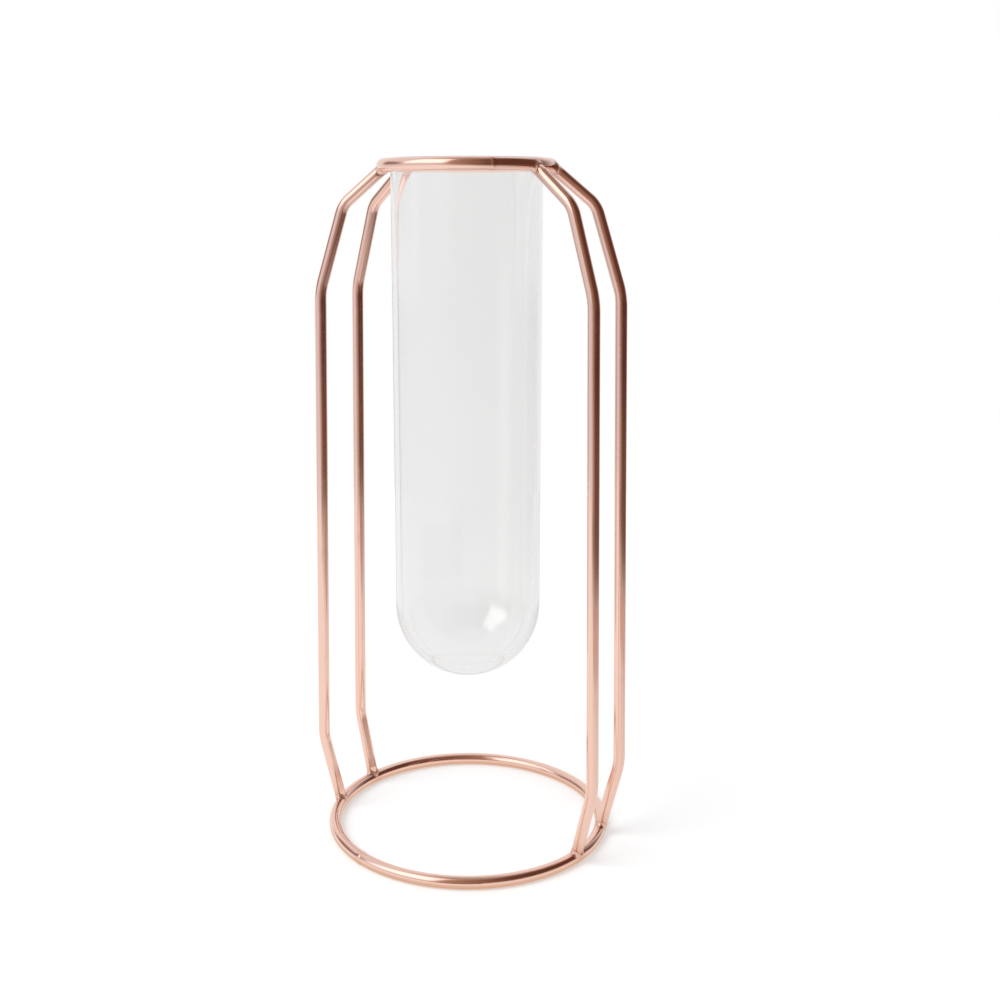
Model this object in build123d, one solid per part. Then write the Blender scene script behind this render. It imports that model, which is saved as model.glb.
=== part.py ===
from build123d import *
import os
from math import cos, radians, sin

# Test tube vase: a round-bottomed glass tube that hangs in a welded cage of wire.
# Millimetres, +Z up. The origin is on the table, at the middle of the base ring.
# +X runs through the middle of one pair of legs, and the front is towards -Y.

# Wire
ring_wire_diameter = 3.6
leg_wire_diameter = 3.4

# Cage
frame_height = 198.8  # table to the top of the upper ring
base_ring_radius = 40.6  # to the middle of the wire
upper_bend_radius = 36.4  # axis of the vase to the bend below the upper ring
upper_bend_drop = 11.0  # middle of the upper ring down to that bend
shoulder_radius = 43.8  # axis of the vase to the top of the long run of a leg
shoulder_drop = 35.5  # middle of the upper ring down to the top of the long run
foot_bend_radius = 46.0  # axis of the vase to the bottom of the long run
foot_bend_height = 23.3  # table to the bottom of the long run
bend_radius = 8.0  # middle of the wire, at each bend
pair_angle = 27.3  # degrees between the two legs of a pair

# Welds between the legs and the rings
weld_width = 0.9  # along the ring, from the side of the leg
weld_height = 1.2  # up the leg, from the crest of the ring's wire
weld_edge = 0.08  # thickness of the filler where it ends on the leg
weld_side = 0.99  # width across the ring, as a share of the ring's wire

# Each ring is closed by a butt weld, which stands a little proud of the wire.
seam_rise = 0.12
top_seam_angle = -47.0  # degrees from +X
base_seam_angle = -112.0

# Glass tube
tube_diameter = 42.7
tube_wall = 1.4
tube_length = 151.1
tube_bottom_thickness = 2.4
tube_clearance = 0.2  # glass to the upper ring, at the wall and under the lip
lip_curl = 40.0  # degrees that the lip bends outwards over the ring

# Worked out from the sizes above
ring_wire_radius = ring_wire_diameter / 2
leg_wire_radius = leg_wire_diameter / 2
tube_radius = tube_diameter / 2
tube_inner_radius = tube_radius - tube_wall
top_ring_radius = tube_radius + tube_clearance + ring_wire_radius
top_ring_height = frame_height - ring_wire_radius
base_ring_height = ring_wire_radius

# Where each leg stands, in degrees from +X
leg_angles = {
    "leg_front_right": -pair_angle / 2,
    "leg_back_right": pair_angle / 2,
    "leg_back_left": 180 - pair_angle / 2,
    "leg_front_left": 180 + pair_angle / 2,
}


def wire_loop(radius, height):
    return Pos(0, 0, height) * Torus(radius, ring_wire_radius)


def closed_ring(radius, height, seam_angle):
    # A loop of wire with the swelling of its butt weld, ground level with the table where it would reach it.
    seam = Pos(radius, 0, height) * Sphere(ring_wire_radius + seam_rise)
    ring = wire_loop(radius, height) + Rot(0, 0, seam_angle) * seam
    return split(ring, Plane.XY, keep=Keep.TOP)


def leg_path():
    # The wire lies in the XZ plane, and each end points at the middle of a ring's wire.
    return FilletPolyline(
        (top_ring_radius, 0, top_ring_height),
        (upper_bend_radius, 0, top_ring_height - upper_bend_drop),
        (shoulder_radius, 0, top_ring_height - shoulder_drop),
        (foot_bend_radius, 0, foot_bend_height),
        (base_ring_radius, 0, base_ring_height),
        radius=bend_radius,
    )


def weld_collar(plane):
    # A flared sleeve round the end of a leg. It is longest along the ring, which lies on the plane's X axis.
    crest = ring_wire_radius
    top = crest + weld_height
    slim = leg_wire_radius + weld_edge
    crest_length = leg_wire_radius + weld_width
    root_length = slim + (crest_length - slim) * top / weld_height
    root = plane * Ellipse(root_length, weld_side * ring_wire_radius)
    end = plane.offset(top) * Circle(slim)
    return loft([root, end], ruled=True)


def test_tube():
    # The lip bends round the ring's wire, so both of its arcs share the wire's centre.
    lip_angle = radians(180 - lip_curl)
    halfway = radians(180 - lip_curl / 2)
    under = ring_wire_radius + tube_clearance
    over = under + tube_wall
    tip_radius = tube_wall / 2

    def lip_point(distance, angle):
        return Vector(top_ring_radius + distance * cos(angle), top_ring_height + distance * sin(angle))

    tip_middle = lip_point(under + tip_radius, lip_angle)
    tip = tip_middle + Vector(sin(lip_angle), -cos(lip_angle)) * tip_radius
    bottom = tip_middle.Y + tip_radius - tube_length
    bowl_middle = bottom + tube_radius
    inner_bowl_middle = bottom + tube_bottom_thickness + tube_inner_radius

    outer_bowl = CenterArc((0, bowl_middle), tube_radius, -90, 90)
    outer_wall = Line(outer_bowl @ 1, (tube_radius, top_ring_height))
    under_lip = ThreePointArc(outer_wall @ 1, lip_point(under, halfway), lip_point(under, lip_angle))
    lip_edge = ThreePointArc(under_lip @ 1, tip, lip_point(over, lip_angle))
    over_lip = ThreePointArc(lip_edge @ 1, lip_point(over, halfway), (tube_inner_radius, top_ring_height))
    inner_wall = Line(over_lip @ 1, (tube_inner_radius, inner_bowl_middle))
    inner_bowl = CenterArc((0, inner_bowl_middle), tube_inner_radius, 0, -90)
    middle = Line(inner_bowl @ 1, outer_bowl @ 0)
    outline = [outer_bowl, outer_wall, under_lip, lip_edge, over_lip, inner_wall, inner_bowl, middle]
    return revolve(Plane.XZ * make_face(outline), Axis.Z)


# The first leg stands on +X. Its ends are coped, so that they seat on the round of the wires.
path = leg_path()
top_loop = wire_loop(top_ring_radius, top_ring_height)
base_loop = wire_loop(base_ring_radius, base_ring_height)
top_end = Plane(origin=path @ 0, x_dir=(0, 1, 0), z_dir=path % 0)
base_end = Plane(origin=path @ 1, x_dir=(0, 1, 0), z_dir=-(path % 1))
straight_leg = sweep(top_end * Circle(leg_wire_radius), path=path)
leg = straight_leg - top_loop - base_loop
top_weld = weld_collar(top_end) - top_loop - straight_leg
base_weld = weld_collar(base_end) - base_loop - straight_leg

turns = [Rot(0, 0, angle) for angle in leg_angles.values()]
parts = {
    "test_tube": test_tube(),
    "top_ring": closed_ring(top_ring_radius, top_ring_height, top_seam_angle),
    "base_ring": closed_ring(base_ring_radius, base_ring_height, base_seam_angle),
    "top_welds": Compound([turn * top_weld for turn in turns]),
    "base_welds": Compound([turn * base_weld for turn in turns]),
}
for name, turn in zip(leg_angles, turns):
    parts[name] = turn * leg

os.makedirs("parts", exist_ok=True)
for name, part in parts.items():
    export_step(part, f"parts/{name}.step")
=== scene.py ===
import math

import bmesh
import bpy
from mathutils import Matrix, Vector, noise


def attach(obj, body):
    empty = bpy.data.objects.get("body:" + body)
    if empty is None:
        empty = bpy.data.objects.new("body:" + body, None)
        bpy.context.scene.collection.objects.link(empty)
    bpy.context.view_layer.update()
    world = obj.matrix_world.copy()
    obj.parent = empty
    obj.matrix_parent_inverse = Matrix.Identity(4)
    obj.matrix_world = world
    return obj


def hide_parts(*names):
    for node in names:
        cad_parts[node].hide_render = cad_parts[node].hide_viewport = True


# Bud vase: a glass test tube hung in a rose-gold wire cage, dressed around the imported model.
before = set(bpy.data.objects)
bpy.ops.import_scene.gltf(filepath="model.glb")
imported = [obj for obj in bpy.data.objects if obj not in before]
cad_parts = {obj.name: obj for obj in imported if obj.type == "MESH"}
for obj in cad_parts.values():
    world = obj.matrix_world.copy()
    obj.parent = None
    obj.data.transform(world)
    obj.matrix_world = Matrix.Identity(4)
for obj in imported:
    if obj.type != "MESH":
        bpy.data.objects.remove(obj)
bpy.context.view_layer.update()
scene = bpy.context.scene
mm = 0.001  # piece sizes are written in millimetres
print("frame loaded,", len(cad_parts), "nodes")


def polar(radius, degrees, height):
    turn = math.radians(degrees)
    return Vector((radius * math.cos(turn), radius * math.sin(turn), height))


def smoothStep(value):
    value = min(max(value, 0.0), 1.0)
    return value * value * (3 - 2 * value)


def addPiece(name, bm, body, material, slot, *nodes):
    bmesh.ops.recalc_face_normals(bm, faces=bm.faces)
    mesh = bpy.data.meshes.new(name)
    bm.to_mesh(mesh)
    bm.free()
    mesh.shade_smooth()
    mesh.materials.append(material)
    piece = bpy.data.objects.new(name, mesh)
    scene.collection.objects.link(piece)
    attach(piece, body)
    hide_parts(*nodes)
    return piece


# Shader helpers
def addNode(tree, kind, x, y, **settings):
    node = tree.nodes.new(kind)
    node.location = (x, y)
    for key, value in settings.items():
        setattr(node, key, value)
    return node


def link(tree, source, target):
    tree.links.new(source, target)


def newGroup(name, inputs, outputs):
    group = bpy.data.node_groups.new(name, "ShaderNodeTree")
    for label, kind, value in inputs:
        socket = group.interface.new_socket(label, in_out="INPUT", socket_type=kind)
        if value is not None:
            socket.default_value = value
    for label, kind in outputs:
        group.interface.new_socket(label, in_out="OUTPUT", socket_type=kind)
    return group, addNode(group, "NodeGroupInput", -900, 0), addNode(group, "NodeGroupOutput", 700, 0)


def addMath(tree, x, y, operation, *values):
    # each value is a socket or a plain number
    node = addNode(tree, "ShaderNodeMath", x, y, operation=operation)
    for k, value in enumerate(values):
        if isinstance(value, (int, float)):
            node.inputs[k].default_value = value
        else:
            link(tree, value, node.inputs[k])
    return node.outputs["Value"]


def mixColours(tree, x, y, factor, colourA, colourB):
    # each of the two colours is a socket or a plain colour
    node = addNode(tree, "ShaderNodeMix", x, y, data_type="RGBA")
    link(tree, factor, node.inputs["Factor"])
    for label, colour in (("A", colourA), ("B", colourB)):
        if isinstance(colour, tuple):
            node.inputs[label].default_value = colour
        else:
            link(tree, colour, node.inputs[label])
    return node.outputs["Result"]


def mixShaders(tree, x, y, factor, shaderA, shaderB):
    node = addNode(tree, "ShaderNodeMixShader", x, y)
    for k, socket in enumerate((factor, shaderA, shaderB)):
        link(tree, socket, node.inputs[k])
    return node.outputs["Shader"]


def placeGroup(tree, group, x, y, **values):
    node = addNode(tree, "ShaderNodeGroup", x, y, node_tree=group)
    for label, value in values.items():
        node.inputs[label].default_value = value
    return node


def newMaterial(name):
    material = bpy.data.materials.new(name)
    material.use_nodes = True
    tree = material.node_tree
    shader = tree.nodes["Principled BSDF"]
    shader.location = (500, 0)
    tree.nodes["Material Output"].location = (850, 0)
    return material, tree, shader


# Fine lines that run along a drawn wire or a drawn glass tube.
# The position comes straightened, with its Z along the run.
def drawLinesGroup():
    group, start, end = newGroup(
        "drawLines",
        [("Position", "NodeSocketVector", None), ("Across", "NodeSocketFloat", 2500.0),
         ("Along", "NodeSocketFloat", 40.0)],
        [("Lines", "NodeSocketFloat"), ("Tone", "NodeSocketFloat")])
    stretch = addNode(group, "ShaderNodeCombineXYZ", -700, -150)
    link(group, start.outputs["Across"], stretch.inputs["X"])
    link(group, start.outputs["Across"], stretch.inputs["Y"])
    link(group, start.outputs["Along"], stretch.inputs["Z"])
    scaled = addNode(group, "ShaderNodeVectorMath", -500, 0, operation="MULTIPLY")
    link(group, start.outputs["Position"], scaled.inputs[0])
    link(group, stretch.outputs["Vector"], scaled.inputs[1])
    fine = addNode(group, "ShaderNodeTexNoise", -250, 100)
    fine.inputs["Scale"].default_value = 1.0
    fine.inputs["Detail"].default_value = 3.0
    fine.inputs["Roughness"].default_value = 0.65
    broad = addNode(group, "ShaderNodeTexNoise", -250, -200)
    broad.inputs["Scale"].default_value = 0.22
    broad.inputs["Detail"].default_value = 1.0
    for texture in (fine, broad):
        link(group, scaled.outputs["Vector"], texture.inputs["Vector"])
    link(group, fine.outputs["Fac"], end.inputs["Lines"])
    link(group, broad.outputs["Fac"], end.inputs["Tone"])
    return group


# Soft patches left by handling, as a mask from 0 to 1.
def handlingGroup():
    group, start, end = newGroup(
        "handling",
        [("Position", "NodeSocketVector", None), ("Scale", "NodeSocketFloat", 60.0),
         ("Cover", "NodeSocketFloat", 0.5)],
        [("Patches", "NodeSocketFloat")])
    cloudy = addNode(group, "ShaderNodeTexNoise", -500, 100)
    cloudy.inputs["Detail"].default_value = 4.0
    cloudy.inputs["Roughness"].default_value = 0.6
    cloudy.inputs["Distortion"].default_value = 0.4
    link(group, start.outputs["Position"], cloudy.inputs["Vector"])
    link(group, start.outputs["Scale"], cloudy.inputs["Scale"])
    edge = addMath(group, -500, -200, "SUBTRACT", 1.0, start.outputs["Cover"])
    soft = addMath(group, -300, -200, "ADD", edge, 0.22)  # width of a patch's soft edge
    mask = addNode(group, "ShaderNodeMapRange", -50, 0, interpolation_type="SMOOTHSTEP")
    link(group, cloudy.outputs["Fac"], mask.inputs["Value"])
    link(group, edge, mask.inputs["From Min"])
    link(group, soft, mask.inputs["From Max"])
    link(group, mask.outputs["Result"], end.inputs["Patches"])
    return group


drawLines = drawLinesGroup()
handling = handlingGroup()
print("node groups made")

roseFinish = {
    "pale": (0.935, 0.645, 0.545, 1.0),
    "deep": (0.905, 0.605, 0.500, 1.0),
    "heat": (0.60, 0.30, 0.20, 1.0),  # tint beside a weld
    "roughLow": 0.14,
    "roughHigh": 0.24,
    "lineAcross": 2600.0,
    "lineAlong": 35.0,
    "lineDepth": 0.000004,
    "patchScale": 70.0,
    "patchCover": 0.52,
    "wire": (0.0, 0.25),  # added roughness, strength of the lines
    "weld": (0.20, 0.8),
}


def roseGoldMaterial(name, roughAdd, lineStrength):
    material, tree, shader = newMaterial(name)
    run = addNode(tree, "ShaderNodeAttribute", -1000, 0, attribute_name="straightRun")
    heat = addNode(tree, "ShaderNodeAttribute", -1000, -300, attribute_name="weldHeat")
    finish = roseFinish
    lines = placeGroup(
        tree, drawLines, -750, 100, Across=finish["lineAcross"], Along=finish["lineAlong"])
    touched = placeGroup(
        tree, handling, -750, -100, Scale=finish["patchScale"], Cover=finish["patchCover"])
    for group in (lines, touched):
        link(tree, run.outputs["Vector"], group.inputs["Position"])

    tone = mixColours(tree, -450, 250, lines.outputs["Tone"], finish["deep"], finish["pale"])
    tinted = mixColours(tree, -150, 250, heat.outputs["Fac"], tone, finish["heat"])
    # light that turned about inside the glass meets a white wire, so the glass shows fewer lines
    rays = addNode(tree, "ShaderNodeLightPath", -150, 700)
    turned = mixColours(tree, 50, 450, rays.outputs["Glossy Depth"], tinted, (1, 1, 1, 1))
    colour = mixColours(tree, 250, 250, rays.outputs["Is Transmission Ray"], tinted, turned)
    link(tree, colour, shader.inputs["Base Color"])

    worn = addNode(tree, "ShaderNodeMapRange", -450, -50)
    worn.inputs["To Min"].default_value = finish["roughLow"] + roughAdd
    worn.inputs["To Max"].default_value = finish["roughHigh"] + roughAdd
    link(tree, touched.outputs["Patches"], worn.inputs["Value"])
    link(tree, worn.outputs["Result"], shader.inputs["Roughness"])

    bump = addNode(tree, "ShaderNodeBump", 100, -300)
    bump.inputs["Strength"].default_value = lineStrength
    bump.inputs["Distance"].default_value = finish["lineDepth"]
    link(tree, lines.outputs["Lines"], bump.inputs["Height"])
    link(tree, bump.outputs["Normal"], shader.inputs["Normal"])
    shader.inputs["Metallic"].default_value = 1.0
    return material


glassFinish = {
    "colour": (0.912, 0.912, 0.911, 1.0),
    "ior": 1.47,
    "straight": (0.93, 0.93, 0.93, 1.0),  # light that goes straight through: shadows, what wires mirror
    "roughLow": 0.0,
    "roughHigh": 0.035,
    "lineAcross": 420.0,
    "lineAlong": 3.0,
    "lineStrength": 0.5,
    "lineDepth": 0.000002,
    "patchScale": 45.0,
    "patchCover": 0.42,
}


def clearGlassMaterial():
    material, tree, shader = newMaterial("clearGlass")
    spot = addNode(tree, "ShaderNodeTexCoord", -1000, 0)
    finish = glassFinish
    lines = placeGroup(
        tree, drawLines, -750, 100, Across=finish["lineAcross"], Along=finish["lineAlong"])
    touched = placeGroup(
        tree, handling, -750, -100, Scale=finish["patchScale"], Cover=finish["patchCover"])
    for group in (lines, touched):
        link(tree, spot.outputs["Object"], group.inputs["Position"])
    haze = addNode(tree, "ShaderNodeMapRange", -300, -100)
    haze.inputs["To Min"].default_value = finish["roughLow"]
    haze.inputs["To Max"].default_value = finish["roughHigh"]
    link(tree, touched.outputs["Patches"], haze.inputs["Value"])
    link(tree, haze.outputs["Result"], shader.inputs["Roughness"])
    bump = addNode(tree, "ShaderNodeBump", 100, -300)
    bump.inputs["Strength"].default_value = finish["lineStrength"]
    bump.inputs["Distance"].default_value = finish["lineDepth"]
    link(tree, lines.outputs["Lines"], bump.inputs["Height"])
    link(tree, bump.outputs["Normal"], shader.inputs["Normal"])
    shader.inputs["Base Color"].default_value = finish["colour"]
    shader.inputs["IOR"].default_value = finish["ior"]
    shader.inputs["Transmission Weight"].default_value = 1.0
    rays = addNode(tree, "ShaderNodeLightPath", 500, 500)
    through = addNode(tree, "ShaderNodeBsdfTransparent", 500, 150)
    through.inputs["Color"].default_value = finish["straight"]
    glass = shader.outputs["BSDF"]
    clear = through.outputs["BSDF"]
    # the wires mirror the room behind the tube, and a ray inside the glass still bends
    outside = mixShaders(tree, 500, -100, rays.outputs["Transmission Depth"], clear, glass)
    fromWire = mixShaders(tree, 700, 0, rays.outputs["Is Glossy Ray"], glass, outside)
    # lamps shine through the glass, so its shadow is faint
    mix = mixShaders(tree, 850, 200, rays.outputs["Is Shadow Ray"], fromWire, clear)
    end = tree.nodes["Material Output"]
    end.location = (1100, 0)
    link(tree, mix, end.inputs["Surface"])
    return material


roseWire = roseGoldMaterial("roseGoldWire", *roseFinish["wire"])
roseWeld = roseGoldMaterial("roseGoldWeld", *roseFinish["weld"])
clearGlass = clearGlassMaterial()
print("materials made")

# The cage. A wire's end and its welds take their place from these numbers.
cage = {
    "hoopWire": 1.8,  # radius of the wire of both hoops
    "legWire": 1.7,
    "hoops": {"top": (23.35, 197.0, -47.0), "base": (40.6, 1.8, -112.0)},  # radius, height, seam angle
    "legCorners": [(23.35, 197.0), (36.4, 186.0), (43.8, 161.5), (46.0, 23.3), (40.6, 1.8)],
    "bendRadii": (8.0, 20.0, 20.0),  # below the top hoop, shoulder, foot
    "legAngles": {"front_right": -13.65, "back_right": 13.65, "back_left": 166.35, "front_left": 193.65},
    "bury": 0.7,  # a leg starts this far from the middle of the hoop's wire
    "bendFlat": 0.025,  # share by which a bend flattens the wire
    "bendSteps": 10,
    "runStep": 3,
    "hoopStep": 1.5,  # degrees
    "legSides": 28,
    "hoopSides": 36,
    "heat": 0.25,  # strongest tint beside a weld
    "heatReach": 2.6,
    "heatStart": 2.0,  # a leg's tint is strongest this far from its end
}


def wireSweep(stations, sides, closed):
    # Each station: middle, two directions across the wire, two radii, length so far, weld heat.
    bm = bmesh.new()
    run = bm.verts.layers.float_vector.new("straightRun")
    heat = bm.verts.layers.float.new("weldHeat")
    rings = []
    for middle, across, aside, radiusA, radiusB, length, warm in stations:
        ring = []
        for k in range(sides):
            turn = 2 * math.pi * k / sides
            x = math.cos(turn)
            y = math.sin(turn)
            vert = bm.verts.new(middle + across * radiusA * x + aside * radiusB * y)
            vert[run] = (radiusA * x, radiusB * y, length)
            vert[heat] = warm
            ring.append(vert)
        rings.append(ring)
    pairs = list(zip(rings, rings[1:]))
    if closed:
        pairs.append((rings[-1], rings[0]))
    for ringA, ringB in pairs:
        for k in range(sides):
            bm.faces.new((ringA[k], ringA[(k + 1) % sides], ringB[(k + 1) % sides], ringB[k]))
    if not closed:
        bm.faces.new(rings[0])
        bm.faces.new(list(reversed(rings[-1])))
    return bm


def heatAt(distance):
    return cage["heat"] * math.exp(-(distance / cage["heatReach"]) ** 2)


# The leg's line in its own upright plane: straight runs and round bends.
# Each point is its (radius, height) and how far the wire is bent there, from 0 to 1.
def legLine():
    corners = [Vector(c) for c in cage["legCorners"]]
    points = []

    def run(start, end, steps):
        for k in range(steps + 1):
            points.append((start.lerp(end, k / steps), 0.0))

    last = corners[0] + (corners[1] - corners[0]).normalized() * cage["bury"]
    for before, corner, after, bendRadius in zip(corners, corners[1:], corners[2:], cage["bendRadii"]):
        inward = (before - corner).normalized()
        outward = (after - corner).normalized()
        half = inward.angle(outward) / 2
        reach = bendRadius / math.tan(half)
        bendStart = corner + inward * reach
        run(last, bendStart, max(2, int((bendStart - last).length / cage["runStep"])))
        middle = corner + (inward + outward).normalized() * (bendRadius / math.sin(half))
        spokeA = bendStart - middle
        spokeB = corner + outward * reach - middle
        sweep = spokeA.angle_signed(spokeB)
        for k in range(1, cage["bendSteps"]):
            share = k / cage["bendSteps"]
            spoke = spokeA.copy()
            spoke.rotate(Matrix.Rotation(-sweep * share, 2))
            points.append((middle + spoke, math.sin(math.pi * share)))
        last = middle + spokeB
    finish = corners[-1] + (corners[-2] - corners[-1]).normalized() * cage["bury"]
    run(last, finish, max(2, int((finish - last).length / cage["runStep"])))
    return points


def buildLeg(name, angle):
    line = legLine()
    turn = Matrix.Rotation(math.radians(angle), 3, "Z")
    aside = turn @ Vector((0, 1, 0))
    stations = []
    length = 0.0
    total = sum((b[0] - a[0]).length for a, b in zip(line, line[1:]))
    for k, (point, bend) in enumerate(line):
        if k:
            length += (point - line[k - 1][0]).length
        ahead = line[min(k + 1, len(line) - 1)][0] - line[max(k - 1, 0)][0]
        ahead.normalize()
        across = turn @ Vector((ahead.y, 0, -ahead.x))
        flat = cage["bendFlat"] * bend
        near = min(length, total - length)
        stations.append((
            turn @ Vector((point.x, 0, point.y)) * mm, across, aside,
            cage["legWire"] * (1 - flat) * mm, cage["legWire"] * (1 + flat) * mm,
            length * mm, heatAt(near - cage["heatStart"])))
    bm = wireSweep(stations, cage["legSides"], False)
    return addPiece("legWire_" + name, bm, "frame", roseWire, "rose_gold", "leg_" + name)


# The butt weld that closes a hoop
seam = {
    "rise": 0.12,
    "half": 0.9,  # half its length along the wire
    "steps": 14,
    "heatNarrow": 1.6,
    "heatShare": 0.7,
}


def buildHoop(name):
    radius, height, seamAngle = cage["hoops"][name]
    perDegree = math.radians(1) * radius
    half = seam["half"] / perDegree
    # close steps across the weld, wider ones round the rest
    angles = [-half + 2 * half * k / seam["steps"] for k in range(seam["steps"] + 1)]
    rest = int((360 - 2 * half) / cage["hoopStep"])
    angles += [half + (360 - 2 * half) * k / rest for k in range(1, rest)]
    stations = []
    for angle in angles:
        fromSeam = min(abs(angle), 360 - abs(angle)) * perDegree
        swell = 0.0
        if fromSeam < seam["half"]:
            swell = seam["rise"] * math.cos(math.pi / 2 * fromSeam / seam["half"]) ** 2
        place = angle + seamAngle
        legs = cage["legAngles"].values()
        toLeg = min(abs((place - leg + 180) % 360 - 180) * perDegree for leg in legs)
        warm = max(heatAt(toLeg), heatAt(fromSeam * seam["heatNarrow"]) * seam["heatShare"])
        outward = polar(1, place, 0)
        wire = (cage["hoopWire"] + swell) * mm
        stations.append((
            outward * radius * mm + Vector((0, 0, height * mm)), outward, Vector((0, 0, 1)), wire, wire,
            angle * perDegree * mm, warm))
    bm = wireSweep(stations, cage["hoopSides"], True)
    for vert in bm.verts:
        vert.co.z = max(vert.co.z, 0.0)  # ground level with the table
    return addPiece(name + "Hoop", bm, "frame", roseWire, "rose_gold", name + "_ring")


weldBead = {
    "along": 1.0,  # how far the filler runs along the hoop, from the side of the leg
    "across": 0.07,
    "rise": 1.3,  # up the leg
    "edge": 0.05,
    "ripple": 0.02,
    "ripples": 11,
    "twist": 2.2,  # how far the ripples turn on their way down
    "phaseStep": 1.7,  # from one bead to the next
    "knee": 0.08,  # how far the hollow of the fillet stays from its corner
    "inside": 0.75,  # reach of the back, as a share of the leg's wire
    "backFoot": 0.93,  # the same at its foot, as a share of the front's
    "backDepth": 0.35,
    "backTop": 0.05,
    "heat": 0.2,
    "turns": 66,
    "steps": 10,
    "searchOver": 0.2,
    "halvings": 30,
}


# A concave fillet of filler round the end of a leg, with its back inside both wires.
def addBead(bm, corner, towards, radius, angle, phase):
    run = bm.verts.layers.float_vector["straightRun"]
    heat = bm.verts.layers.float["weldHeat"]
    turn = Matrix.Rotation(math.radians(angle), 3, "Z")
    up = (Vector(towards) - Vector(corner)).normalized()
    up = Vector((up.x, 0, up.y))
    middle = Vector((corner[0], 0, corner[1]))
    aside = Vector((0, 1, 0))
    across = aside.cross(up)

    def onHoop(direction, distance):
        # height above the middle of the hoop's wire at which the hoop's skin lies, found by halving
        low = 0.0
        high = cage["hoopWire"] + weldBead["searchOver"]
        for halving in range(weldBead["halvings"]):
            height = (low + high) / 2
            point = middle + direction * distance + up * height
            ringward = math.hypot(math.hypot(point.x, point.y) - radius, point.z - corner[1])
            if ringward < cage["hoopWire"]:
                low = height
            else:
                high = height
        return low

    slim = cage["legWire"] + weldBead["edge"]
    longReach = cage["legWire"] + weldBead["along"]
    shortReach = cage["legWire"] + weldBead["across"]
    inside = cage["legWire"] * weldBead["inside"]
    loops = []
    for k in range(weldBead["turns"]):
        spin = 2 * math.pi * k / weldBead["turns"]
        direction = aside * math.cos(spin) + across * math.sin(spin)
        footReach = 1 / math.hypot(math.cos(spin) / longReach, math.sin(spin) / shortReach)
        foot = Vector((footReach, onHoop(direction, footReach)))
        root = Vector((slim, onHoop(direction, slim)))
        top = root + Vector((0, weldBead["rise"]))
        knee = root + Vector((weldBead["knee"], weldBead["knee"]))
        profile = []
        for step in range(weldBead["steps"] + 1):
            t = step / weldBead["steps"]
            spot = top * (1 - t) ** 2 + knee * 2 * t * (1 - t) + foot * t ** 2
            wave = math.cos(spin * weldBead["ripples"] + phase + weldBead["twist"] * t)
            push = weldBead["ripple"] * math.sin(math.pi * t) * wave
            profile.append(spot + Vector((push, push)))
        deep = foot.y - weldBead["backDepth"]
        profile.append(Vector((foot.x * weldBead["backFoot"], deep)))
        profile.append(Vector((inside, deep)))
        profile.append(Vector((inside, top.y - weldBead["backTop"])))
        loop = []
        for reach, height in profile:
            vert = bm.verts.new(turn @ (middle + direction * reach + up * height) * mm)
            vert[run] = (reach * math.cos(spin) * mm, reach * math.sin(spin) * mm, height * mm)
            vert[heat] = weldBead["heat"]
            loop.append(vert)
        loops.append(loop)
    count = len(loops[0])
    for loopA, loopB in zip(loops, loops[1:] + loops[:1]):
        for k in range(count):
            bm.faces.new((loopA[k], loopA[(k + 1) % count], loopB[(k + 1) % count], loopB[k]))


def buildWelds(name, corner, towards, hoop):
    bm = bmesh.new()
    bm.verts.layers.float_vector.new("straightRun")
    bm.verts.layers.float.new("weldHeat")
    for k, angle in enumerate(cage["legAngles"].values()):
        addBead(bm, corner, towards, cage["hoops"][hoop][0], angle, weldBead["phaseStep"] * k)
    return addPiece(hoop + "Welds", bm, "frame", roseWeld, "rose_gold", name)


for legName, legAngle in cage["legAngles"].items():
    buildLeg(legName, legAngle)
for hoopName in cage["hoops"]:
    buildHoop(hoopName)
buildWelds("top_welds", cage["legCorners"][0], cage["legCorners"][1], "top")
buildWelds("base_welds", cage["legCorners"][-1], cage["legCorners"][-2], "base")
print("wire cage built")

glassTube = {
    "outerRadius": 21.35,
    "innerRadius": 19.95,
    "bottom": 48.336,
    "bottomThickness": 2.4,
    "ringRadius": 23.35,  # the lip bends round the middle of the hoop's wire
    "ringHeight": 197.0,
    "lipUnder": 2.0,
    "lipEdge": 1.0,  # thickness at the edge, fire polished
    "lipCurl": 36.0,
    "segments": 180,
    "wallSteps": 40,
    "bowlSteps": 40,
    "lipSteps": 32,
    "edgeSteps": 40,
    "drawDepth": 0.010,  # faint lengthwise waves of the drawn wall
    "waveRound": 4.4,
    "waveAlong": 0.012,
    "waveInner": 14,  # keeps the inner wall's waves apart from the outer's
    "fadeLow": 12,  # the waves fade out above the bowl and below the lip
    "fadeHigh": 8,
}


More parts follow.
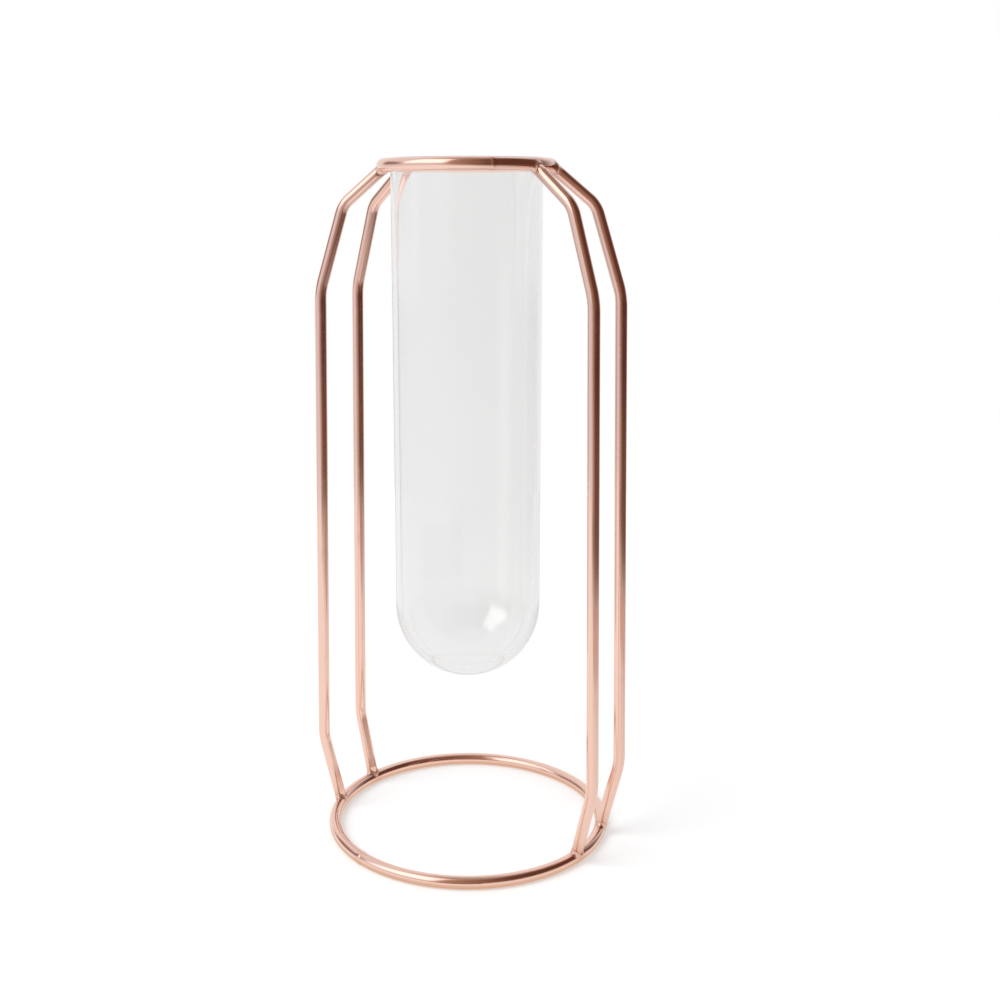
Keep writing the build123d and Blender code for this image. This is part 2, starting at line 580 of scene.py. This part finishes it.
# The outline of the glass from the outer pole, up over the lip and down to the inner pole.
def tubeOutline():
    t = glassTube
    outline = []
    outerBowl = t["bottom"] + t["outerRadius"]
    innerBowl = t["bottom"] + t["bottomThickness"] + t["innerRadius"]

    def arc(middle, radius, start, end, steps, first=0):
        for k in range(first, steps + 1):
            turn = math.radians(start + (end - start) * k / steps)
            outline.append((middle[0] + radius * math.cos(turn), middle[1] + radius * math.sin(turn)))

    def wall(radius, start, end, steps):
        for k in range(1, steps):
            outline.append((radius, start + (end - start) * k / steps))

    ring = (t["ringRadius"], t["ringHeight"])
    lipEnd = 180 - t["lipCurl"]
    edge = t["lipEdge"] / 2
    half = t["lipUnder"] + edge
    wallThick = t["outerRadius"] - t["innerRadius"]
    lipTurn = math.radians(lipEnd)
    tip = (ring[0] + half * math.cos(lipTurn), ring[1] + half * math.sin(lipTurn))
    arc((0, outerBowl), t["outerRadius"], -90, 0, t["bowlSteps"])
    wall(t["outerRadius"], outerBowl, ring[1], t["wallSteps"])
    arc(ring, t["lipUnder"], 180, lipEnd, t["lipSteps"])
    arc(tip, edge, lipEnd + 180, lipEnd + 360, t["edgeSteps"], 1)
    for k in range(1, t["lipSteps"] + 1):
        share = k / t["lipSteps"]
        turn = math.radians(lipEnd + (180 - lipEnd) * share)
        over = t["lipUnder"] + t["lipEdge"] + (wallThick - t["lipEdge"]) * smoothStep(share)
        outline.append((ring[0] + over * math.cos(turn), ring[1] + over * math.sin(turn)))
    wall(t["innerRadius"], ring[1], innerBowl, t["wallSteps"])
    arc((0, innerBowl), t["innerRadius"], 0, -90, t["bowlSteps"])
    return outline


def buildTube():
    t = glassTube
    outline = tubeOutline()
    bm = bmesh.new()
    low = t["bottom"] + t["outerRadius"]
    columns = []
    for k in range(t["segments"]):
        spin = 2 * math.pi * k / t["segments"]
        x = math.cos(spin)
        y = math.sin(spin)
        column = []
        for row, (radius, height) in enumerate(outline[1:-1]):
            wallShare = smoothStep((height - low) / t["fadeLow"])
            wallShare *= smoothStep((t["ringHeight"] - height) / t["fadeHigh"])
            along = height * t["waveAlong"]
            if row > len(outline) / 2:
                along += t["waveInner"]
            seed = Vector((t["waveRound"] * x, t["waveRound"] * y, along))
            radius += t["drawDepth"] * wallShare * noise.noise(seed)
            column.append(bm.verts.new(Vector((radius * x, radius * y, height)) * mm))
        columns.append(column)
    outerPole = bm.verts.new(Vector((0, 0, outline[0][1])) * mm)
    innerPole = bm.verts.new(Vector((0, 0, outline[-1][1])) * mm)
    for columnA, columnB in zip(columns, columns[1:] + columns[:1]):
        for k in range(len(columnA) - 1):
            bm.faces.new((columnA[k], columnB[k], columnB[k + 1], columnA[k + 1]))
        bm.faces.new((outerPole, columnB[0], columnA[0]))
        bm.faces.new((innerPole, columnA[-1], columnB[-1]))
    return addPiece("glassTube", bm, "tube", clearGlass, "clear_glass", "test_tube")


buildTube()
print("glass tube built")

# The photograph's camera stands a little right of the front, level with the top hoop,
# and looks slightly down.
view = {
    "azimuth": 26.73,
    "distance": 0.37498,
    "height": 0.19020,
    "pitch": 11.191,
    "roll": -0.123,
    "sensor": 36,
    "lens": 47.343,
    "shiftX": 0.0326,
    "shiftY": -0.050,
}


def addCamera():
    camera = bpy.data.objects.new("camera", bpy.data.cameras.new("camera"))
    scene.collection.objects.link(camera)
    camera.data.sensor_width = view["sensor"]
    camera.data.lens = view["lens"]
    camera.data.shift_x = view["shiftX"]
    camera.data.shift_y = view["shiftY"]
    turn = math.radians(view["azimuth"])
    away = view["distance"]
    camera.location = (away * math.sin(turn), -away * math.cos(turn), view["height"])
    aim = Matrix.Rotation(turn, 3, "Z") @ Matrix.Rotation(math.radians(90 - view["pitch"]), 3, "X")
    aim = aim @ Matrix.Rotation(math.radians(view["roll"]), 3, "Z")
    camera.rotation_euler = aim.to_euler()
    scene.camera = camera


addCamera()

# The studio: a white table in a white room. What metal and glass mirror is a shell painted with a room's
# light
# and shade, seen only in reflections: daylight from the left, a dark side where the camera stands and a
# pale wall behind. Lengths are in metres.
studio = {
    "tableRings": [0.01, 0.02, 0.026, 0.03, 0.033, 0.036, 0.0385, 0.0406, 0.0427,
                   0.045, 0.048, 0.052, 0.06],
    "tableOuterRings": 20,
    "tableTurns": 96,
    "tableRadius": 0.46,
    "tableColour": (0.80, 0.80, 0.80, 1.0),
    "tableRough": 0.9,
    "tableGlow": 0.32,
    "tableRise": -30,  # degrees at which the bowl mirrors the table
    "tableNear": (0.20, 0.46),
    "fill": 0.65,
    "keyStrength": 1.2,
    "keyTurn": -38.0,
    "keyRise": 52.0,
    "keySpread": 40.0,
    "roomRadius": 1.2,
    "roomMiddle": 0.1,
    "roomLow": -60,
    "roomStep": 3,
    "inWall": 0.93,  # what light sees that goes round inside the glass
    "inWallLong": 0.35,  # the same after a long way through it
    "longWay": (5, 70),  # reflections on that way
    "bounces": 768,  # light that enters the rim runs down the wall of the tube and back
    "cardReach": 0.20,  # a low card on the right of the vase, seen only in the metal: a painted reflection
    "cardLow": 0.0005,
    "cardHeight": 0.034,
    "cardTurns": (36, 128),
    "cardStep": 4,
}
# painted reflections: the shades that mirrored rays see on the room shell and on the table
roomShades = {
    "wall": Vector((0.90, 0.90, 0.90)),
    "window": Vector((1.60, 1.60, 1.62)),
    "daylight": Vector((0.79, 0.81, 0.86)),
    "corner": Vector((0.34, 0.25, 0.22)),
    "dark": Vector((0.080, 0.036, 0.025)),
    "darkLow": Vector((0.165, 0.098, 0.075)),
    "brown": Vector((0.44, 0.29, 0.21)),
    "darkHigh": Vector((0.120, 0.052, 0.036)),
    "ceiling": Vector((0.44, 0.34, 0.29)),
    "table": Vector((1.0, 1.0, 1.0)),
    "tableFar": Vector((0.74, 0.72, 0.71)),
    "foot": Vector((0.72, 0.58, 0.44)),  # painted warm contact shade, seen only in mirrors, where the base hoop meets the table
    "card": Vector((0.62, 0.52, 0.47)),
}
warmFall = (1.0, 0.62, 0.58)  # powers by which red, green and blue fall off into the dark

# Where the room's shades begin and end, in degrees of azimuth or rise.
# Azimuth is 0 in front, 90 on the right and runs from -180 to 180.
roomEdges = {
    "daylight": (-120, -85),
    "cornerStart": (-108, -98),
    "cornerEnd": (-68, -60),
    "cornerLow": (-1, 5),
    "cornerHigh": (20, 34),
    "paneStart": (-65, -56),
    "paneEnd": (-2, 6),
    "paneLow": (13, 20),
    "darkStart": (-42, 55),
    "darkShift": (28, 10),  # added to darkStart well below the horizon
    "darkEnd": (128, 178),
    "sunk": (-10, -3),  # below the horizon
    "brownToDark": (-10, 80),
    "highStart": (-6, 8),
    "lowToHigh": (-4, 4),
    "ceiling": (55, 85),
}


# Soft edges: past is 0 before an edge and 1 after it, upTo is the other way round.
def past(value, edge):
    return smoothStep((value - edge[0]) / (edge[1] - edge[0]))


def upTo(value, edge):
    return past(-value, (-edge[1], -edge[0]))


def darken(shade, dark, share):
    # green and blue fall before red does, so that the half shades are warm
    return Vector([a + (b - a) * share ** power for a, b, power in zip(shade, dark, warmFall)])


# the painted reflection on the room shell, by azimuth and rise
def roomShade(azimuth, rise):
    at = roomEdges
    shade = roomShades["wall"].lerp(roomShades["daylight"], past(azimuth, at["daylight"]))
    corner = past(azimuth, at["cornerStart"]) * upTo(azimuth, at["cornerEnd"])
    corner *= past(rise, at["cornerLow"]) * upTo(rise, at["cornerHigh"])
    shade = shade.lerp(roomShades["corner"], corner)
    pane = past(azimuth, at["paneStart"]) * upTo(azimuth, at["paneEnd"]) * past(rise, at["paneLow"])
    shade = shade.lerp(roomShades["window"], pane)
    # the dark side: it fades in slowly along the floor and starts at the window's edge above it
    back = upTo(azimuth, at["darkEnd"])
    sunk = upTo(rise, at["sunk"])
    floor = roomShades["dark"].lerp(roomShades["darkLow"], sunk)
    start = [edge + shift * sunk for edge, shift in zip(at["darkStart"], at["darkShift"])]
    low = darken(shade, floor, past(azimuth, start) * back)
    above = roomShades["brown"].lerp(roomShades["darkHigh"], past(azimuth, at["brownToDark"]))
    high = shade.lerp(above, past(azimuth, at["highStart"]) * back)
    shade = low.lerp(high, past(rise, at["lowToHigh"]))
    return shade.lerp(roomShades["ceiling"], past(rise, at["ceiling"]))


# What the far wall and the bowl of the tube mirror, seen from outside, as painted reflections: a grey
# lit from below, the dark side of the room in front of it, and a painted window highlight.
bowlGrey = {
    "plain": 0.70,
    "below": 0.30,  # added below the horizon
    "near": 0.25,  # added on the table beside the vase
    "streak": 0.60,  # added in a pale upright streak
    "over": 1.20,  # overhead and behind
    "dark": 0.02,
    "window": 4.2,
}
bowlEdges = {
    "below": (-13, 0),
    "streakStart": (-54, -44),
    "streakEnd": (-34, -24),
    "streakHigh": (-4, 4),
    "over": (91, 97),  # degrees over the vase, from the camera's side
    "darkStart": (8, 32),
    "darkAside": (0.4, 0.85),
    "darkLeft": (-82, -72),
    "darkHigh": (45, 55),
    "paneStart": (-66, -60),
    "paneEnd": (-22, -16),
    "paneLow": (13, 19),
    "paneHigh": (52, 60),
}


def bowlShade(azimuth, rise, near=0.0):
    at = bowlEdges
    grey = bowlGrey
    level = grey["plain"] + grey["below"] * upTo(rise, at["below"]) + grey["near"] * near
    streak = past(azimuth, at["streakStart"]) * upTo(azimuth, at["streakEnd"])
    level += grey["streak"] * streak * upTo(rise, at["streakHigh"])
    turn = math.radians(azimuth - view["azimuth"])
    flat = math.cos(math.radians(rise))
    over = math.degrees(math.atan2(math.sin(math.radians(rise)), math.cos(turn) * flat))
    level += (grey["over"] - level) * past(over, at["over"])
    aside = math.sin(turn) * flat
    dark = past(over, at["darkStart"]) * upTo(over, at["over"]) * upTo(aside, at["darkAside"])
    dark *= max(past(azimuth, at["darkLeft"]), past(rise, at["darkHigh"]))
    level += (grey["dark"] - level) * dark
    pane = past(azimuth, at["paneStart"]) * upTo(azimuth, at["paneEnd"])
    pane *= past(rise, at["paneLow"]) * upTo(rise, at["paneHigh"])
    level += (grey["window"] - level) * pane
    return level, level, level


tableEdges = {
    "far": (-0.05, 0.22),
    "darkMiddle": (-0.04, -0.02),
    "darkReach": (0.22, 0.46),
    # the painted dark lies beyond two lines: shares of towards and aside, half the width of the soft
    # edge
    "darkLines": [(0.38, 0.92, 0.11), (1.0, 0.6, 0.06)],
    "footWidth": 0.005,
}


# The table as mirrors see it, with painted shade: dimmer on the right and dark beyond its reach on the
# camera's side.
def tableShade(x, y):
    at = tableEdges
    right = math.radians(view["azimuth"])
    aside = x * math.cos(right) + y * math.sin(right)
    towards = x * math.sin(right) - y * math.cos(right)
    shade = roomShades["table"].lerp(roomShades["tableFar"], past(aside, at["far"]))
    edge = past(math.hypot(x - at["darkMiddle"][0], y - at["darkMiddle"][1]), at["darkReach"])
    for towardsShare, asideShare, soft in at["darkLines"]:
        edge *= past(towardsShare * towards + asideShare * aside, (-soft, soft))
    shade = shade.lerp(roomShades["darkLow"], edge)
    # painted warm contact shade round the foot of the base hoop
    fromHoop = (math.hypot(x, y) - cage["hoops"]["base"][0] * mm) / at["footWidth"]
    return shade.lerp(roomShades["foot"], math.exp(-fromHoop * fromHoop))


def whiteRays(tree, x, y):
    # rays that show the white of the room: the camera's, and those that metal and glass send on
    rays = addNode(tree, "ShaderNodeLightPath", x, y)
    white = rays.outputs["Is Camera Ray"]
    for k, kind in enumerate(("Is Glossy Ray", "Is Transmission Ray")):
        white = addMath(tree, x + 200 * (k + 1), y, "MAXIMUM", white, rays.outputs[kind])
    return white


def addWorld():
    world = bpy.data.worlds.new("whiteRoom")
    scene.world = world
    world.use_nodes = True
    tree = world.node_tree
    level = addNode(tree, "ShaderNodeMapRange", -100, 0)
    level.inputs["To Min"].default_value = studio["fill"]
    level.inputs["To Max"].default_value = 1.0
    link(tree, whiteRays(tree, -700, 0), level.inputs["Value"])
    backdrop = tree.nodes["Background"]
    backdrop.inputs["Color"].default_value = (1, 1, 1, 1)
    link(tree, level.outputs["Result"], backdrop.inputs["Strength"])
    world.cycles.sampling_method = "NONE"


# Adds to a stage material the shade that mirrored rays see, and returns the shader with it.
# Straight through the glass, all of the stage is plain white.
def mirroredShade(tree, plain, x, y):
    rays = addNode(tree, "ShaderNodeLightPath", x, y)
    reflections = rays.outputs["Glossy Depth"]
    passes = rays.outputs["Transmission Depth"]
    # counts of reflections and passes through glass are whole, so the limits stand between them
    mirrored = addMath(tree, x + 200, y, "GREATER_THAN", reflections, 0.5)
    within = addMath(tree, x + 200, y - 200, "GREATER_THAN", passes, 0.5)
    deep = addMath(tree, x + 200, y - 800, "GREATER_THAN", passes, 2.5)
    once = addMath(tree, x + 200, y - 1000, "LESS_THAN", reflections, 1.5)
    farSide = addMath(tree, x + 400, y - 900, "MULTIPLY", deep, once)

    room = addNode(tree, "ShaderNodeAttribute", x + 200, y - 400, attribute_name="roomShade")
    bowl = addNode(tree, "ShaderNodeAttribute", x + 200, y - 600, attribute_name="bowlShade")
    longWay = addNode(tree, "ShaderNodeMapRange", x + 200, y - 1200)
    longWay.inputs["From Min"].default_value = studio["longWay"][0]
    longWay.inputs["From Max"].default_value = studio["longWay"][1]
    longWay.inputs["To Min"].default_value = studio["inWall"]
    longWay.inputs["To Max"].default_value = studio["inWallLong"]
    link(tree, reflections, longWay.inputs["Value"])
    inWall = mixColours(tree, x + 400, y - 400, within, room.outputs["Color"], longWay.outputs["Result"])
    inBowl = mixColours(tree, x + 600, y - 500, farSide, inWall, bowl.outputs["Color"])
    shown = mixColours(tree, x + 800, y - 300, mirrored, (1, 1, 1, 1), inBowl)
    light = addNode(tree, "ShaderNodeEmission", x + 1000, y - 300)
    link(tree, shown, light.inputs["Color"])
    seen = addMath(tree, x + 600, y, "MAXIMUM", mirrored, rays.outputs["Is Transmission Ray"])
    return mixShaders(tree, x + 1200, y, seen, plain, light.outputs["Emission"])


def stagePiece(name, bm, material):
    mesh = bpy.data.meshes.new(name)
    bm.to_mesh(mesh)
    bm.free()
    mesh.shade_smooth()
    mesh.materials.append(material)
    material.cycles.emission_sampling = "NONE"
    piece = bpy.data.objects.new(name, mesh)
    scene.collection.objects.link(piece)
    return piece


def addTable():
    material, tree, shader = newMaterial("tableWhite")
    shader.inputs["Base Color"].default_value = studio["tableColour"]
    shader.inputs["Roughness"].default_value = studio["tableRough"]
    shader.inputs["Specular IOR Level"].default_value = 0.0
    shader.inputs["Emission Color"].default_value = (1, 1, 1, 1)
    glow = addMath(tree, 200, -300, "MULTIPLY", whiteRays(tree, -500, -300), studio["tableGlow"])
    link(tree, glow, shader.inputs["Emission Strength"])
    end = tree.nodes["Material Output"]
    end.location = (1700, 0)
    link(tree, mirroredShade(tree, shader.outputs["BSDF"], 500, 700), end.inputs["Surface"])
    bm = bmesh.new()
    shade = bm.verts.layers.float_color.new("roomShade")
    bowl = bm.verts.layers.float_color.new("bowlShade")
    # close rings round the foot of the vase, even ones from there to the table's edge
    turns = studio["tableTurns"]
    last = studio["tableRings"][-1]
    outer = studio["tableOuterRings"]
    reaches = list(studio["tableRings"])
    reaches += [last + (studio["tableRadius"] - last) * k / outer for k in range(1, outer + 1)]
    rings = []
    for reach in reaches:
        near = upTo(reach, studio["tableNear"])
        ring = []
        for j in range(turns):
            vert = bm.verts.new(polar(reach, 360 * j / turns, 0))
            vert[shade] = (*tableShade(vert.co.x, vert.co.y), 1.0)
            around = math.degrees(math.atan2(vert.co.x, -vert.co.y))
            vert[bowl] = (*bowlShade(around, studio["tableRise"], near), 1.0)
            ring.append(vert)
        rings.append(ring)
    bm.faces.new(rings[0])
    for ringA, ringB in zip(rings, rings[1:]):
        for j in range(turns):
            bm.faces.new((ringA[j], ringB[j], ringB[(j + 1) % turns], ringA[(j + 1) % turns]))
    stagePiece("table", bm, material)


def addRoom():
    material = bpy.data.materials.new("mirroredRoom")
    material.use_nodes = True
    tree = material.node_tree
    tree.nodes.clear()
    clear = addNode(tree, "ShaderNodeBsdfTransparent", 0, 200)
    end = addNode(tree, "ShaderNodeOutputMaterial", 1250, 0)
    link(tree, mirroredShade(tree, clear.outputs["BSDF"], 0, 0), end.inputs["Surface"])
    bm = bmesh.new()
    shade = bm.verts.layers.float_color.new("roomShade")
    bowl = bm.verts.layers.float_color.new("bowlShade")
    grid = []
    for azimuth in range(-180, 180, studio["roomStep"]):
        column = []
        for rise in range(studio["roomLow"], 90, studio["roomStep"]):
            flat = studio["roomRadius"] * math.cos(math.radians(rise))
            high = studio["roomMiddle"] + studio["roomRadius"] * math.sin(math.radians(rise))
            vert = bm.verts.new(polar(flat, azimuth - 90, high))
            vert[shade] = (*roomShade(azimuth, rise), 1.0)
            vert[bowl] = (*bowlShade(azimuth, rise), 1.0)
            column.append(vert)
        grid.append(column)
    top = bm.verts.new((0, 0, studio["roomMiddle"] + studio["roomRadius"]))
    top[shade] = (*roomShade(0, 90), 1.0)
    top[bowl] = (*bowlShade(0, 90), 1.0)
    for columnA, columnB in zip(grid, grid[1:] + grid[:1]):
        for j in range(len(columnA) - 1):
            bm.faces.new((columnA[j], columnB[j], columnB[j + 1], columnA[j + 1]))
        bm.faces.new((columnA[-1], columnB[-1], top))
    card = []
    for azimuth in range(*studio["cardTurns"], studio["cardStep"]):
        pair = []
        for height in (studio["cardLow"], studio["cardHeight"]):
            vert = bm.verts.new(polar(studio["cardReach"], azimuth - 90, height))
            vert[shade] = (*roomShades["card"], 1.0)
            vert[bowl] = (*bowlShade(azimuth, 0), 1.0)
            pair.append(vert)
        card.append(pair)
    for pairA, pairB in zip(card, card[1:]):
        bm.faces.new((pairA[0], pairB[0], pairB[1], pairA[1]))
    room = stagePiece("mirroredRoom", bm, material)
    room.visible_camera = False
    room.visible_diffuse = False
    room.visible_shadow = False


def addKey():
    lamp = bpy.data.lights.new("softKey", "SUN")
    lamp.energy = studio["keyStrength"]
    lamp.angle = math.radians(studio["keySpread"])
    key = bpy.data.objects.new("softKey", lamp)
    scene.collection.objects.link(key)
    turn = Matrix.Rotation(math.radians(studio["keyTurn"]), 3, "Z")
    tilt = Matrix.Rotation(math.radians(90 - studio["keyRise"]), 3, "X")
    key.rotation_euler = (turn @ tilt).to_euler()
    key.visible_glossy = False
    key.visible_transmission = False


addWorld()
scene.cycles.max_bounces = studio["bounces"]
scene.cycles.glossy_bounces = studio["bounces"]
scene.cycles.transmission_bounces = studio["bounces"]
addTable()
addRoom()
addKey()
scene.view_settings.view_transform = "Standard"
print("studio set")
